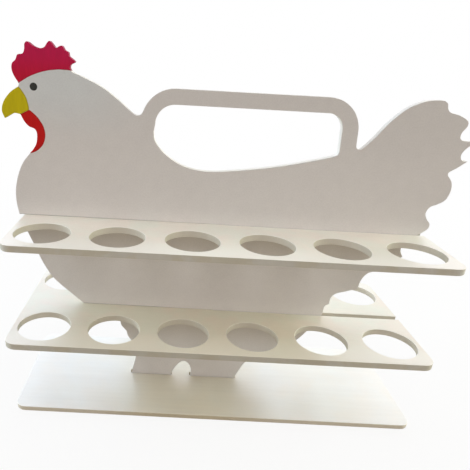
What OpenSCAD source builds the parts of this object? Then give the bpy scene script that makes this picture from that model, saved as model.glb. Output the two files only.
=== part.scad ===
// Hen-shaped egg holder: an upright hen board carries two egg shelves and stands in a base plate.
// X runs from the beak to the tail, Y from front to back and Z up from the table.
// The origin is on the underside of the base plate, in the middle of the rows of eggs.

/* [Boards] */
// Thickness of the hen board
hen_t = 5; // [4:0.5:6]
// Thickness of each shelf
shelf_t = 5; // [4:0.5:6]
// Thickness of the base plate
base_t = 4; // [3:0.5:6]

/* [Shelves] */
// Length of a shelf, along the hen
shelf_l = 317; // [314:1:330]
// Depth of a shelf, from its front edge to its back edge
shelf_w = 133; // [130:1:150]
// Radius of a shelf's corners, seen from above
shelf_corner_r = 9; // [3:0.5:14]
// Height of the upper shelf's underside above the table
upper_z = 145.4; // [140:0.1:150]
// Height of the lower shelf's underside above the table
lower_z = 68.2; // [64:0.1:72]
// How far the lower shelf sits towards the beak
lower_shift = 2; // [0:0.5:4]

/* [Egg holes] */
// Diameter of an egg hole
egg_d = 40; // [34:0.5:42]
// Number of egg holes in a row
egg_count = 6; // [3:1:6]
// Distance between neighbouring holes of a row
egg_pitch = 53.8; // [50:0.1:54]
// Distance of each row of holes from the middle of the hen board
egg_row_y = 40; // [38:0.5:42]

/* [Base plate] */
// Length of the base plate
base_l = 321; // [300:1:340]
// Depth of the base plate, from front to back
base_w = 104; // [90:1:130]
// Radius of the base plate's corners
base_corner_r = 8; // [3:0.5:14]

/* [Handle] */
// Height of the handle's top edge above the base plate
handle_z = 247; // [245:0.5:252]
// Width of the bar that the hand goes round
handle_bar = 11; // [9:0.5:13]

/* [Joints] */
// Where the slots of the hen board and the upper shelf meet
lap_x = 0; // [-40:5:40]
// Gap left on each side of a board in its slot
slot_gap = 0.1; // [0:0.05:0.2]
// Extra length at each end of the slots for the feet
foot_slot_end = 1; // [0.5:0.1:2]

/* [Hidden] */
past = 1;          // how far a cutter runs past the face that it cuts
head_l = 60;       // more than the length of the painted head
curve_steps = 5;   // straight steps between two points of a smooth curve
bend_steps = 14;   // straight steps in a bend of the handle
hole_fn = 96;
corner_fn = 64;

white = [0.93, 0.92, 0.89];
comb_red = [0.68, 0.06, 0.2];
wattle_red = [0.76, 0.06, 0.06];
beak_yellow = [0.72, 0.62, 0.08];
eye_black = [0.13, 0.14, 0.12];

// The hen is drawn on the board's face as [x, height above the base plate].
// Each list is one smooth stretch of the outline, and the stretches meet at sharp points.
beak_top = [[-157.2, 242.6], [-163.2, 238.5], [-168.4, 232], [-170.2, 225.5], [-168.4, 220]];
beak_under = [[-168.4, 220], [-164.8, 222.2], [-161, 224], [-156.8, 223.4]];
wattle_front = [[-156.8, 223.4], [-154.2, 218.4], [-151, 215], [-146.8, 213.2], [-145.4, 209.5],
                [-146.2, 203], [-148.6, 198.6], [-151.3, 195.4]];
breast = [[-151.3, 195.4], [-157.6, 187], [-162, 176], [-164.3, 163], [-163.2, 150],
          [-159.6, 138.5], [-151.8, 119.8], [-145.6, 105], [-137.4, 91.6], [-124.3, 79.2],
          [-109, 66.5], [-95, 60], [-81.5, 57.2]];
thigh_front = [[-81.5, 57.2], [-81.4, 53], [-80.4, 49.2], [-78.4, 46.6]];
thigh_back = [[-78.4, 46.6], [-76, 43.6], [-74.9, 39.6], [-73, 36.2]];
front_leg = [[-73, 36.2], [-69.2, 31.5], [-67.3, 24.5], [-67.2, 18.5], [-68.6, 10], [-69.8, 4],
             [-70, 0]];
arch = [[-35, 0], [-33, 5.4], [-30, 10.7], [-26.6, 14.4], [-23.2, 15.3], [-20, 13.2],
        [-17.8, 8.8], [-17, 4], [-17, 0]];
back_leg = [[22.5, 0], [24.8, 5.6], [27.2, 11], [29.8, 16.2], [35, 20.8], [46, 26.4], [60, 34],
            [71.8, 42.5], [80.6, 53.3], [87.4, 63.5], [90.8, 71.5], [91.4, 78], [94.8, 80.8]];
feather_low = [[94.8, 80.8], [95.2, 86.4], [98.6, 90.6], [106, 93.2], [115.8, 96.4]];
feather_mid = [[115.8, 96.4], [117.2, 104.8], [121.4, 111], [129, 113.6], [138.5, 115.6]];
feather_high = [[138.5, 115.6], [139.8, 121], [142.4, 124.8], [146, 127.2]];
rump = [[146, 127.2], [143.2, 132.6], [144.2, 139], [149.4, 144.4], [156, 148.4], [160.2, 152.4],
        [160.4, 156.4], [156.8, 160.8], [155.2, 165.2], [157.4, 170], [162.6, 172.6],
        [167.6, 176.4], [169.7, 183.8], [168.4, 190.4], [164.3, 195.4]];
tail_low = [[164.3, 195.4], [164.4, 197.8], [169.2, 201.2], [175.9, 206.7]];
tail_mid = [[175.9, 206.7], [171.6, 207.2], [169.8, 210.8], [171.4, 215], [174.8, 218.6],
            [176.4, 221.4]];
tail_high = [[176.4, 221.4], [169.4, 221.4], [165.9, 223.2], [165.8, 227.4], [168.4, 231.8],
             [167.8, 235.8], [161, 239.3], [154, 241], [151.3, 243.5], [150.2, 247],
             [147.4, 248.9]];
tail_top = [[147.4, 248.9], [140.6, 248.8], [132, 247], [121.5, 241.4], [111.6, 231.4],
            [103, 219.6], [95.4, 211.3]];
nape = [[-72.4, 227], [-75.4, 228.6], [-86.3, 237.6], [-97.3, 245.2], [-108.1, 250.2],
        [-118.6, 254.4]];
comb_back = [[-118.6, 254.4], [-119.9, 257], [-119.2, 259.2], [-116.2, 261], [-118.2, 263.1],
             [-120.2, 264.6], [-120.8, 267.2], [-123, 268.3], [-125, 271.1], [-127.2, 270.6],
             [-129.4, 269.5], [-131.4, 271.8], [-133.5, 273.8], [-135.4, 272.4], [-137.4, 269.7],
             [-140.8, 268.8], [-144.8, 270], [-149, 272.7], [-151, 271.2], [-151.4, 267.6],
             [-152.8, 264.8], [-156.4, 263.9], [-158, 260.6], [-160.6, 258], [-161.1, 254],
             [-159.6, 249.6], [-156.8, 245], [-157.2, 242.6]];

// The paint of the head meets along circles, on both faces of the board. The crown is white.
crown_at = [-125, 203];
crown_r = 52.5;
comb_low_z = 243.6;     // the comb's paint ends above this height
comb_end_x = -112;      // and in front of this place
beak_at = [-172, 227];
beak_r = 21.7;
wattle_high_at = [-161.7, 207.4];
wattle_high_r = 22.6;
wattle_low_at = [-154, 209.8];
wattle_low_r = 14.8;
gape_at = [-150.2, 227]; // inner end of the straight line between the beak and the wattle
gape_rise = 0.545;
eye_at = [-146.2, 243.1];
eye_d = 5.4;

// The handle is a loop on the hen's back: two bends, the foot behind them and the root in front.
handle_bend_r = 24.5;
handle_front_x = -44.2;
handle_back_x = 66;
handle_foot = [[95.4, 211.3], [93, 211.1], [91.5, 212.3], [90.9, 215]];
handle_root = [[-68.1, 228.8], [-69.6, 227.3], [-72.4, 227]];

// The opening for the hand, with the hen's saddle as its lower edge.
front_inner_r = 14.5;
back_inner_r = 11.5;
front_inner_x = -43.9;
back_inner_x = 67;
saddle = [[-59.2, 216], [-57.8, 209], [-50.8, 200.5], [-39.3, 193], [-26.8, 189.3], [-12, 188.6],
          [14.2, 191.6], [36.9, 195.4], [62, 201.2], [74.6, 204.6], [78.4, 206.2], [79.5, 209.5]];

// The feet, from one end to the other.
front_foot = [-70, -35];
back_foot = [-17, 22.5];

// A point of a list, with one mirrored point allowed past each end.
function knot(p, i) =
    i < 0 ? 2 * p[0] - p[1] :
    i >= len(p) ? 2 * p[len(p) - 1] - p[len(p) - 2] : p[i];

// A point of the smooth curve between b and c, at t from 0 to 1.
function between(a, b, c, d, t) =
    0.5 * (2 * b + (c - a) * t + (2 * a - 5 * b + 4 * c - d) * t * t + (3 * b - a - 3 * c + d) * t * t * t);

// The smooth curve through every point of p, without its last point.
function smooth(p) = [
    for (i = [0 : len(p) - 2], s = [0 : curve_steps - 1])
        between(knot(p, i - 1), knot(p, i), knot(p, i + 1), knot(p, i + 2), s / curve_steps)
];

// Points along an arc of radius r whose centre is at x, and r below top, from angle a to angle b.
function bend(x, top, r, a, b) = [
    for (s = [0 : bend_steps])
        [x, top - r] + r * [cos(a + (b - a) * s / bend_steps), sin(a + (b - a) * s / bend_steps)]
];

hen_outline = concat(
    smooth(beak_top), smooth(beak_under), smooth(wattle_front), smooth(breast),
    smooth(thigh_front), smooth(thigh_back), smooth(front_leg), [[front_foot[0], 0]],
    smooth(arch), [[back_foot[0], 0]],
    smooth(back_leg), smooth(feather_low), smooth(feather_mid), smooth(feather_high), smooth(rump),
    smooth(tail_low), smooth(tail_mid), smooth(tail_high), smooth(tail_top), smooth(handle_foot),
    bend(handle_back_x, handle_z, handle_bend_r, 0, 90),
    bend(handle_front_x, handle_z, handle_bend_r, 90, 160),
    smooth(handle_root), smooth(nape), smooth(comb_back));

handle_opening = concat(
    smooth(saddle),
    bend(back_inner_x, handle_z - handle_bar, back_inner_r, 0, 90),
    bend(front_inner_x, handle_z - handle_bar, front_inner_r, 90, 180));

// A flat board with rounded corners, lying on z = 0 with its middle at the origin.
module board(l, w, t, r) {
    linear_extrude(t) {
        square([l - 2 * r, w], center = true);
        square([l, w - 2 * r], center = true);
        for (x = [-1, 1], y = [-1, 1])
            translate([x * (l / 2 - r), y * (w / 2 - r)])
                circle(r, $fn = corner_fn);
    }
}

// A shelf lying on z = 0. Its slot is open at the tail end, and takes the hen board as far as x = lap.
module egg_shelf(lap) {
    slot_w = hen_t + 2 * slot_gap;
    difference() {
        board(shelf_l, shelf_w, shelf_t, shelf_corner_r);
        for (i = [0 : egg_count - 1], side = [-1, 1])
            translate([(i - (egg_count - 1) / 2) * egg_pitch, side * egg_row_y, -past])
                cylinder(h = shelf_t + 2 * past, d = egg_d, $fn = hole_fn);
        translate([lap, -slot_w / 2, -past])
            cube([shelf_l / 2 + past - lap, slot_w, shelf_t + 2 * past]);
    }
}

// Stands a drawing of [x, height above the base plate] up as a board in the middle of the stand.
module upright(t) {
    translate([0, t / 2, base_t])
        rotate([90, 0, 0])
            linear_extrude(t)
                children();
}

// The hen's outline with the handle's opening and the feet that go through the base plate.
module hen_face() {
    difference() {
        polygon(hen_outline);
        polygon(handle_opening);
    }
    for (foot = [front_foot, back_foot])
        translate([foot[0], -base_t])
            square([foot[1] - foot[0], base_t + past]);
}

// The painted parts of the head, as areas that run past the outline.
module comb_area() {
    difference() {
        translate([comb_end_x - head_l, comb_low_z])
            square(head_l);
        translate(crown_at)
            circle(crown_r, $fn = hole_fn);
    }
}

// All of the head that lies above the line between the beak and the wattle.
module above_gape() {
    low_z = gape_at[1] - gape_rise * head_l;
    polygon([gape_at, [gape_at[0], gape_at[1] + head_l], [gape_at[0] - head_l, gape_at[1] + head_l],
             [gape_at[0] - head_l, low_z]]);
}

module beak_area() {
    intersection() {
        translate(beak_at)
            circle(beak_r, $fn = hole_fn);
        above_gape();
    }
}

// The high circle counts only above the middle of the low one, which bounds the drop below it.
module wattle_area() {
    difference() {
        union() {
            intersection() {
                translate(wattle_high_at)
                    circle(wattle_high_r, $fn = hole_fn);
                translate([wattle_low_at[0] - head_l, wattle_low_at[1]])
                    square(2 * head_l);
            }
            translate(wattle_low_at)
                circle(wattle_low_r, $fn = hole_fn);
        }
        above_gape();
    }
}

module eye_area() {
    translate(eye_at)
        circle(d = eye_d, $fn = hole_fn);
}

// The painted part of the hen that lies within an area.
module painted(paint) {
    color(paint)
        upright(hen_t)
            intersection() {
                hen_face();
                children();
            }
}

// Upright board cut to the hen's outline. The shelves slide into its slots from the breast.
module hen_panel() {
    slot_h = shelf_t + slot_gap;
    difference() {
        union() {
            color(white)
                upright(hen_t)
                    difference() {
                        hen_face();
                        comb_area();
                        beak_area();
                        wattle_area();
                        eye_area();
                    }
            painted(comb_red) comb_area();
            painted(beak_yellow) beak_area();
            painted(wattle_red) wattle_area();
            painted(eye_black) eye_area();
        }
        for (slot = [[upper_z, lap_x], [lower_z, lap_x - lower_shift]])
            translate([-shelf_l, -hen_t / 2 - past, slot[0]])
                cube([shelf_l + slot[1], hen_t + 2 * past, slot_h]);
    }
}

// Shelf at the height of the hen's back.
module upper_shelf() {
    color(white)
        translate([0, 0, upper_z])
            egg_shelf(lap_x);
}

// The same shelf lower down, a little nearer the beak.
module lower_shelf() {
    color(white)
        translate([-lower_shift, 0, lower_z])
            egg_shelf(lap_x);
}

// Thin plate that the feet stand in.
module base_plate() {
    slot_w = hen_t + 2 * slot_gap;
    color(white)
        difference() {
            board(base_l, base_w, base_t, base_corner_r);
            for (foot = [front_foot, back_foot])
                translate([foot[0] - foot_slot_end, -slot_w / 2, -past])
                    cube([foot[1] - foot[0] + 2 * foot_slot_end, slot_w, base_t + 2 * past]);
        }
}

hen_panel();
upper_shelf();
lower_shelf();
base_plate();
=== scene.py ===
import math

import bpy
from mathutils import Euler, Matrix, Vector


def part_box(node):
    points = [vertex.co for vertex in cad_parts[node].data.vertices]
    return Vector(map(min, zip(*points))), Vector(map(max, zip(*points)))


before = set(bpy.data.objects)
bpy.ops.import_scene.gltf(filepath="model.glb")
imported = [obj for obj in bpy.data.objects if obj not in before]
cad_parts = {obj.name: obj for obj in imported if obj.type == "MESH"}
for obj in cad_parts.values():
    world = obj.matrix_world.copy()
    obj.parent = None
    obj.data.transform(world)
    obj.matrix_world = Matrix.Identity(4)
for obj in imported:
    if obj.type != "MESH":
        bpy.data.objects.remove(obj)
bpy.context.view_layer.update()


# Base plate: a thin board with rounded corners, cut on a router and sprayed with gloss white.
# It lies flat on the table, and two slots take the hen's feet. All its long edges are eased by
# hand, and the sprayed faces are smoother than the cut edges, which drink more of the paint
# and are painted darker and yellower, partly as painted shade. Between the feet the plate is
# painted darker, as painted shade under the shelves.

class Wire:
    """A value or a colour on its way through a finish, which can be added, multiplied and so on."""

    def __init__(self, finish, socket):
        self.finish = finish
        self.socket = socket

    def sum(self, operation, *values):
        return self.finish.node("Math", {"operation": operation}, dict(enumerate(values)))

    def __add__(self, other):
        return self.sum("ADD", self, other)

    def __radd__(self, other):
        return self.sum("ADD", other, self)

    def __sub__(self, other):
        return self.sum("SUBTRACT", self, other)

    def __rsub__(self, other):
        return self.sum("SUBTRACT", other, self)

    def __mul__(self, other):
        return self.sum("MULTIPLY", self, other)

    def __rmul__(self, other):
        return self.sum("MULTIPLY", other, self)

    def __lt__(self, other):
        return self.sum("LESS_THAN", self, other)

    def __gt__(self, other):
        return self.sum("GREATER_THAN", self, other)

    def __or__(self, other):
        """The larger of the two, which joins masks and cuts a zone down to what both hold."""
        return self.sum("MAXIMUM", self, other)

    def __abs__(self):
        return self.sum("ABSOLUTE", self)

    def part(self, axis):
        return self.finish.node("SeparateXYZ", {}, {"Vector": self}, out=axis)

    def fade(self, low, high):
        """0 below low and 1 above high, with a smooth step between."""
        sockets = {"Value": self, "From Min": low, "From Max": high}
        return self.finish.node("MapRange", {"interpolation_type": "SMOOTHSTEP"}, sockets)


class Finish:
    """The wiring of one paint, or of the light in the room."""

    def __init__(self, owner):
        self.owner = owner
        owner.use_nodes = True
        self.tree = owner.node_tree
        self.tree.nodes.clear()

    def node(self, kind, settings={}, sockets={}, out=0):
        made = self.tree.nodes.new("ShaderNode" + kind)
        for name, value in settings.items():
            setattr(made, name, value)
        for name, value in sockets.items():
            self.feed(made.inputs[name], value)
        return Wire(self, made.outputs[out]) if made.outputs else made

    def feed(self, socket, value):
        if isinstance(value, Wire):
            self.tree.links.new(value.socket, socket)
        elif isinstance(value, tuple) and socket.type == "RGBA":
            socket.default_value = (*value, 1)
        else:
            socket.default_value = value

    def place(self):
        """The place on the board, in metres, in the stand's own frame."""
        return self.node("TexCoord", out="Object")

    def facing(self, axis):
        """How squarely the board's surface faces along an axis, from 0 to 1."""
        return abs(self.node("TexCoord", out="Normal").part(axis))

    def noise(self, size, detail=2.0, along=(1, 1, 1)):
        """Soft specks about size metres across, from 0 to 1, drawn out where along is under 1."""
        place = self.node("VectorMath", {"operation": "MULTIPLY"}, {0: self.place(), 1: along})
        sockets = {"Vector": place, "Scale": 1 / size, "Detail": detail, "Roughness": 0.55}
        return self.node("TexNoise", {}, sockets)

    def blend(self, share, first, second, how="MIX"):
        """Colour first, with the given share of colour second laid over it."""
        settings = {"data_type": "RGBA", "blend_type": how}
        return self.node("Mix", settings, {0: share, 6: first, 7: second}, out=2)

    def shade(self, colour, light):
        """Colour made darker or lighter by a value that may vary."""
        grey = self.node("CombineColor", {}, {0: light, 1: light, 2: light})
        return self.blend(1.0, colour, grey, how="MULTIPLY")

    def bump(self, height, depth, under=None):
        """A normal from a height of 0 to 1, with its depth in metres."""
        sockets = {"Height": height, "Distance": depth, "Strength": 1.0}
        if under:
            sockets["Normal"] = under
        return self.node("Bump", {}, sockets)

    def coat(self, colour, roughness, normal, sheen_level=0.5, lacquer=0.0):
        paint = {"Base Color": colour, "Roughness": roughness, "Normal": normal}
        gloss = {"Specular IOR Level": sheen_level, "Coat Weight": lacquer, "Coat Roughness": 0.3}
        surface = self.node("BsdfPrincipled", {}, {**paint, **gloss})
        self.node("OutputMaterial", {}, {"Surface": surface})
        return self.owner


def mesh_steps(board, name):
    """An empty chain of mesh steps on the board: the chain, its start and its end."""
    chain = bpy.data.node_groups.new(name, "GeometryNodeTree")
    for way in ("INPUT", "OUTPUT"):
        chain.interface.new_socket("Geometry", in_out=way, socket_type="NodeSocketGeometry")
    board.modifiers.new(name, "NODES").node_group = chain
    return chain, chain.nodes.new("NodeGroupInput"), chain.nodes.new("NodeGroupOutput")


def ease_edges(board, width):
    """Rounds the board's edges a little and shades its curved walls smooth."""
    chain, start, end = mesh_steps(board, "join_walls")
    plain = chain.nodes.new("GeometryNodeRemoveAttribute")
    plain.inputs["Name"].default_value = "custom_normal"
    join = chain.nodes.new("GeometryNodeMergeByDistance")
    join.inputs["Distance"].default_value = 0.0002
    chain.links.new(start.outputs[0], plain.inputs[0])
    chain.links.new(plain.outputs[0], join.inputs[0])
    chain.links.new(join.outputs[0], end.inputs[0])

    flat = board.modifiers.new("flat_faces", "DECIMATE")
    flat.decimate_type = "DISSOLVE"
    flat.angle_limit = math.radians(0.3)

    round_off = board.modifiers.new("eased_edges", "BEVEL")
    round_off.limit_method = "ANGLE"
    round_off.angle_limit = math.radians(50)
    round_off.width = width
    round_off.segments = 3
    round_off.use_clamp_overlap = False

    chain, start, end = mesh_steps(board, "smooth_walls")
    smooth = chain.nodes.new("GeometryNodeSetShadeSmooth")
    creases = chain.nodes.new("GeometryNodeSetShadeSmooth")
    creases.domain = "EDGE"
    creases.inputs["Shade Smooth"].default_value = False
    turn = chain.nodes.new("GeometryNodeInputMeshEdgeAngle")
    sharp = chain.nodes.new("FunctionNodeCompare")
    sharp.operation = "GREATER_THAN"
    sharp.inputs["B"].default_value = math.radians(40)
    chain.links.new(turn.outputs["Unsigned Angle"], sharp.inputs["A"])
    chain.links.new(start.outputs[0], smooth.inputs["Geometry"])
    chain.links.new(smooth.outputs[0], creases.inputs["Geometry"])
    chain.links.new(sharp.outputs[0], creases.inputs["Selection"])
    chain.links.new(creases.outputs[0], end.inputs[0])

    even = board.modifiers.new("even_shading", "WEIGHTED_NORMAL")
    even.keep_sharp = True
    even.weight = 100


def paint_board(board, finish):
    board.data.materials.clear()
    board.data.materials.append(finish)


gloss = Finish(bpy.data.materials.new("gloss_base"))
gloss_warm = (0.9, 0.885, 0.845)
gloss_cool = (0.89, 0.9, 0.885)
gloss_rim = (0.74, 0.68, 0.53)
painted_foot_shade = (0.86, 0.82, 0.7)
mid_feet = -0.02
roller = gloss.noise(0.0011)
sag = gloss.noise(0.05, detail=1)
cloud = gloss.noise(0.035, detail=3).fade(0.35, 0.65)
grain = gloss.noise(0.004, along=(0.05, 1, 1))
rim = 1 - gloss.facing(2).fade(0.35, 0.8)
tone = 0.9 + 0.05 * gloss.noise(0.09) + 0.05 * roller + 0.1 * grain
gloss_white = gloss.blend(cloud, gloss_warm, gloss_cool)
# The cut edges are painted darker and yellower, partly for the paint they drink and partly as
# painted shade.
gloss_colour = gloss.shade(gloss.blend(rim, gloss_white, gloss_rim), tone)
# The plate is painted darker and yellower between the hen's feet, as painted shade under the
# shelves.
shade_by_feet = 1 - abs(gloss.place().part(0) - mid_feet).fade(0.025, 0.08)
gloss_colour = gloss.blend(shade_by_feet, gloss_colour, painted_foot_shade, how="MULTIPLY")
gloss_roughness = 0.3 + 0.08 * sag + 0.25 * rim
gloss_normal = gloss.bump(roller, 0.00001, under=gloss.bump(sag, 0.00025))
base_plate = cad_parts["base_plate"]
paint_board(base_plate, gloss.coat(gloss_colour, gloss_roughness, gloss_normal, lacquer=1.0))
ease_edges(base_plate, 0.0005)


# Hen panel: the upright board, cut to a hen's outline with the handle as a loop in the same
# board. It is painted white with a foam roller, and then the comb, the wattle, the beak and the
# eyes are painted by hand on both faces and round the edges. Its feet stand in the base plate.

hen = Finish(bpy.data.materials.new("painted_hen"))
hen_white = (0.85, 0.835, 0.81)
head_window_light = (0.84, 0.905, 0.915)
hen_rim = (0.88, 0.865, 0.82)
comb_red = (0.62, 0.002, 0.035)
comb_pink = (0.6, 0.006, 0.08)
wattle_red = (0.63, 0.005, 0.004)
beak_yellow = (0.67, 0.57, 0.003)
eye_black = (0.03, 0.031, 0.026)
painted_under_shade = (0.74, 0.7, 0.65)

# The painted zones are bounded by circles on the hen's face, each a middle and a radius, and by
# straight lines. They are measured across from the stand's middle and up from the base plate.
comb_ring = ((-0.125, 0.203), 0.0525)
comb_back = -0.112
comb_low = 0.2436
beak_ring = ((-0.172, 0.227), 0.0217)
gape_end = (-0.1502, 0.227)
gape_rise = 0.545
wattle_ring = ((-0.1617, 0.2074), 0.0226)
wattle_low = 0.2098
wattle_tip_ring = ((-0.154, 0.2098), 0.0148)
eye_ring = ((-0.1462, 0.2431), 0.0027)

height = hen.place().part(2)
across = hen.place().part(0)
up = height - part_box("base_plate")[1].z
hand = 0.0004 * hen.noise(0.004, detail=1) - 0.0002


def ring(middle, radius):
    """How far the place is outside a circle on the hen's face, in metres."""
    from_middle = hen.node("CombineXYZ", {}, {0: across - middle[0], 1: up - middle[1]})
    length = hen.node("VectorMath", {"operation": "LENGTH"}, {0: from_middle}, out="Value")
    return length - radius + hand


# Each zone is a distance in metres, which is below 0 inside the zone.
gape = up - gape_end[1] - (across - gape_end[0]) * gape_rise + hand
comb = (0 - ring(*comb_ring)) | (across - comb_back) | (comb_low - up)
beak = ring(*beak_ring) | (0 - gape)
wattle = ring(*wattle_ring) | (wattle_low - up)
wattle = wattle.sum("MINIMUM", wattle, ring(*wattle_tip_ring)) | gape
eye = ring(*eye_ring)

stipple = hen.noise(0.0012)
strokes = hen.noise(0.0016, along=(1, 1, 0.18))
rim = 1 - hen.facing(1).fade(0.35, 0.8)
tone = 0.87 + 0.05 * hen.noise(0.07) + 0.06 * hen.noise(0.008) + 0.13 * stipple
# The head is tinted cooler, as painted light from the cool window on the beak's side.
window_light_on_head = height.fade(0.205, 0.25) * (1 - across.fade(-0.12, -0.05))
# The head and the handle are painted a little darker, as painted shade.
painted_top_shade = height.fade(0.19, 0.24)
hen_colour = hen.blend(0.8 * window_light_on_head, hen_white, head_window_light)
hen_colour = hen.shade(hen.blend(rim, hen_colour, hen_rim), tone * (1 - 0.05 * painted_top_shade))

# Shade is painted under each shelf, and a little painted bounce light just over it. The shade
# in the gap over the shelf is painted as a dark line on the beak's side, where it runs in the
# hen's own slot, and hardly beyond.
gap_shade_share = 0.25 - 0.21 * across.fade(-0.075, -0.035)
for name in ("lower_shelf", "upper_shelf"):
    low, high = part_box(name)
    shade_under_shelf = (height < low.z) * (height - low.z).fade(-0.036, 0)
    hen_colour = hen.blend(shade_under_shelf, hen_colour, painted_under_shade, how="MULTIPLY")
    shelf_bounce_light = (height > high.z) * (1 - (height - high.z).fade(0, 0.014))
    gap_shade_line = gap_shade_share * (1 - abs(height - high.z).fade(0.0003, 0.001))
    hen_colour = hen.shade(hen_colour, 1 + 0.06 * shelf_bounce_light - gap_shade_line)

comb_paint = hen.blend(height.fade(0.25, 0.272), comb_red, comb_pink)
painted = 0
for zone, paint in (
    (comb, comb_paint),
    (wattle, wattle_red),
    (beak, beak_yellow),
    (eye, eye_black),
):
    inside = 1 - zone.fade(-0.00012, 0.00012)
    thick = 1 - abs(zone).fade(0.0002, 0.001)
    # Paint is darker where it builds up at a zone's border, and on the board's edges as painted
    # shade.
    coats_and_edge_shade = (0.86 + 0.28 * strokes) * (1 - 0.3 * thick) * (1 - 0.55 * rim)
    hen_colour = hen.blend(inside, hen_colour, hen.shade(paint, coats_and_edge_shade))
    painted = painted + inside
hen_roughness = 0.5 + 0.08 * stipple + 0.15 * rim - 0.1 * painted
rolled = hen.bump(stipple, 0.00003)
brushed = hen.bump(strokes * painted, 0.00003, under=rolled)
raised = hen.bump(painted, 0.00008, under=brushed)
hen_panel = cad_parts["hen_panel"]
paint_board(hen_panel, hen.coat(hen_colour, hen_roughness, raised, sheen_level=0.2))
ease_edges(hen_panel, 0.0002)


# Shelves: two boards with rounded corners and twelve egg holes each, painted a creamier white
# than the hen. Each slides into the hen from the breast by its long open slot. The cut edges and
# the walls of the holes are duller and yellower, partly under their thinner paint and partly as
# painted shade.

shelf = Finish(bpy.data.materials.new("painted_shelf"))
shelf_warm = (0.935, 0.875, 0.79)
shelf_cool = (0.9, 0.9, 0.81)
shelf_rim = (0.66, 0.65, 0.58)
rim_amber = (0.63, 0.6, 0.49)
shelf_hole = (0.72, 0.685, 0.59)
painted_highlight_white = (0.97, 0.955, 0.9)
painted_middle_shade = (0.85, 0.825, 0.74)
mid_shade = -0.025
low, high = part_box("upper_shelf")

along = shelf.place().part(0)
out = abs(shelf.place().part(1))
level = shelf.facing(2)
stipple = shelf.noise(0.0012)
grain = shelf.noise(0.0015, along=(0.08, 1, 1))
cloud = shelf.noise(0.03, detail=3).fade(0.35, 0.65)
patchy = shelf.noise(0.018, detail=3).fade(0.4, 0.6)
mottle = 0.05 * shelf.noise(0.06) + 0.05 * shelf.noise(0.012)
tone = 0.875 + mottle + 0.05 * grain + 0.09 * stipple
rim = 1 - level.fade(0.35, 0.8)
# A painted highlight lightens the top arris and the strip of the top along the front edge.
arris_highlight = level.fade(0.3, 0.5) * (1 - level.fade(0.93, 0.99))
outside = (abs(along) > high.x - 0.0025) | (out > high.y - 0.004)
front_strip_light = level * out.fade(high.y - 0.03, high.y - 0.006)
# The cut edges and the hole walls are painted darker, partly for their thinner paint and partly as
# painted shade.
wall = shelf.blend(outside, shelf_hole, shelf.blend(patchy, shelf_rim, rim_amber))
shelf_colour = shelf.blend(rim, shelf.blend(cloud, shelf_warm, shelf_cool), wall)
shelf_colour = shelf.shade(shelf_colour, tone)
shelf_colour = shelf.blend(arris_highlight | 0.7 * front_strip_light, shelf_colour, painted_highlight_white)

# The lower shelf is painted darker and yellower near its middle, as painted shade under the
# upper shelf and the hen.
on_lower = shelf.place().part(2) < low.z - 0.01
by_middle = 1 - abs(along - mid_shade).fade(0.075, 0.125)
shaded_middle = on_lower * (0.4 + 0.6 * level) * by_middle
shelf_colour = shelf.blend(shaded_middle, shelf_colour, painted_middle_shade, how="MULTIPLY")
shelf_roughness = 0.36 + 0.08 * stipple + 0.25 * rim
shelf_normal = shelf.bump(stipple, 0.00002, under=shelf.bump(grain, 0.00001))
shelf_paint = shelf.coat(shelf_colour, shelf_roughness, shelf_normal, sheen_level=0.4)
for name in ("lower_shelf", "upper_shelf"):
    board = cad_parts[name]
    paint_board(board, shelf_paint)
    ease_edges(board, 0.0004)


# Table and room: plain and white as the camera and the gloss of the paint see them. The table
# bounces light up under the shelves and keeps a faint shadow of the stand near its foot.

def in_view(finish):
    """1 for what the camera sees, straight on, in gloss or through glass."""
    camera, glossy, through = (
        finish.node("LightPath", out=ray)
        for ray in ("Is Camera Ray", "Is Glossy Ray", "Is Transmission Ray")
    )
    return camera | glossy | through


table_reach = 6
table_z = -0.0002
corners = [
    (x * table_reach, y * table_reach, table_z)
    for x, y in ((-1, -1), (1, -1), (1, 1), (-1, 1))
]
table_mesh = bpy.data.meshes.new("table")
table_mesh.from_pydata(corners, [], [(0, 1, 2, 3)])
table = bpy.data.objects.new("table", table_mesh)
bpy.context.scene.collection.objects.link(table)

pale = Finish(bpy.data.materials.new("pale_table"))
from_stand = pale.node("VectorMath", {"operation": "LENGTH"}, {0: pale.place()}, out="Value")
plain_white = in_view(pale) * (0.87 + 0.13 * from_stand.fade(0.25, 0.9))
looks = pale.node("BsdfDiffuse", {}, {"Color": (0.86, 0.86, 0.86)})
bounce = pale.node("BsdfDiffuse", {}, {"Color": (0.5, 0.45, 0.38)})
to_camera = pale.node("LightPath", out="Is Camera Ray")
matt = pale.node("MixShader", {}, {0: to_camera, 1: bounce, 2: looks})
white = pale.node("Emission", {}, {"Color": (1, 1, 1), "Strength": 1.0})
surface = pale.node("MixShader", {}, {0: plain_white, 1: matt, 2: white})
pale.node("OutputMaterial", {}, {"Surface": surface})
paint_board(table, pale.owner)

room = Finish(bpy.data.worlds.new("room"))
bpy.context.scene.world = room.owner
unlit = room.node("Background", {}, {"Color": (0, 0, 0), "Strength": 0.0})
blank = room.node("Background", {}, {"Color": (1, 1, 1), "Strength": 1.0})
surface = room.node("MixShader", {}, {0: in_view(room), 1: unlit, 2: blank})
room.node("OutputWorld", {}, {"Surface": surface})


# Lamps: two tall windows and a skylight behind the stand, soft panels at its two sides that are
# edge-on to the hen, cool on the beak's side and warm on the tail's, and a ceiling and front light
# that leave the hen's face in shade. None of them brings the white paint up to the white of paper.

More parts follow.
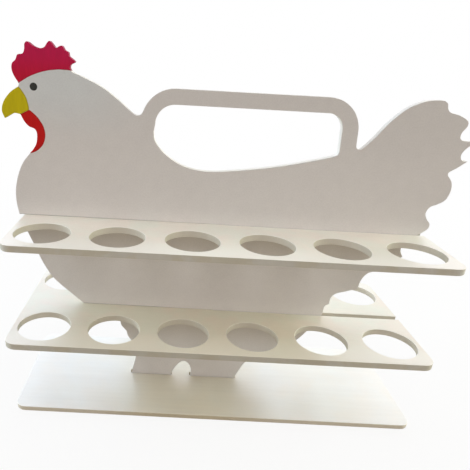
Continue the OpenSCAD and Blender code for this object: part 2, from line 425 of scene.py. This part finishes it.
mid_stand = Vector((0, 0, 0.12))
for name, at, wide, tall, watts, tint in (
    ("ceiling", (0, 0.3, 2.2), 3.0, 3.0, 20, (1.0, 0.85, 0.82)),
    ("window_left", (-1.0, 2.0, 0.8), 2.0, 1.6, 19, (0.74, 0.81, 1.0)),
    ("window_right", (1.0, 2.0, 0.8), 2.0, 1.6, 15, (0.88, 0.86, 1.0)),
    ("skylight", (0, 1.2, 1.6), 1.5, 1.0, 4.8, (0.75, 1.0, 1.0)),
    ("front_fill", (0, -2.0, 0.8), 2.5, 1.5, 9.9, (1.0, 0.87, 0.85)),
    ("front_high", (0, -1.1, 1.7), 1.2, 1.2, 6.9, (1.0, 0.97, 0.96)),
    ("side_left", (-1.4, 0.05, 0.9), 0.8, 0.6, 7.8, (0.77, 0.91, 1.0)),
    ("side_right", (1.4, 0.05, 0.9), 0.8, 0.6, 8.8, (0.92, 1.0, 0.77)),
    ("low_left", (-1.5, 0.25, 0.18), 0.8, 0.3, 10, (0.85, 0.95, 1.0)),
    ("low_right", (1.5, 0.25, 0.18), 0.8, 0.3, 9, (1.0, 0.97, 0.9)),
):
    panel = bpy.data.lights.new(name, "AREA")
    panel.shape = "RECTANGLE"
    panel.size = wide
    panel.size_y = tall
    panel.energy = watts
    panel.color = tint
    lamp = bpy.data.objects.new(name, panel)
    lamp.location = at
    lamp.rotation_euler = (mid_stand - Vector(at)).to_track_quat("-Z", "Y").to_euler()
    lamp.visible_camera = False
    bpy.context.scene.collection.objects.link(lamp)


# Camera: held low in front of the beak's half, looking down on the shelves and a little rolled.
# The photograph is cut from a wider picture, so the frame is shifted to the right.

image_side = 470
focal_px = 461
middle_px = (168, 239)
sensor_mm = 36
yaw = math.radians(0.4)
down = math.radians(21.5)
roll = math.radians(3.2)
lens = bpy.data.cameras.new("camera")
lens.sensor_width = sensor_mm
lens.lens = sensor_mm * focal_px / image_side
lens.shift_x = (image_side / 2 - middle_px[0]) / image_side
lens.shift_y = (middle_px[1] - image_side / 2) / image_side
camera = bpy.data.objects.new("camera", lens)
camera.location = (-0.0467, -0.3469, 0.2716)
aim = Euler((math.pi / 2 - down, 0, -yaw)).to_matrix() @ Matrix.Rotation(roll, 3, "Z")
camera.rotation_euler = aim.to_euler()
bpy.context.scene.collection.objects.link(camera)
bpy.context.scene.camera = camera
bpy.context.scene.view_settings.view_transform = "Standard"
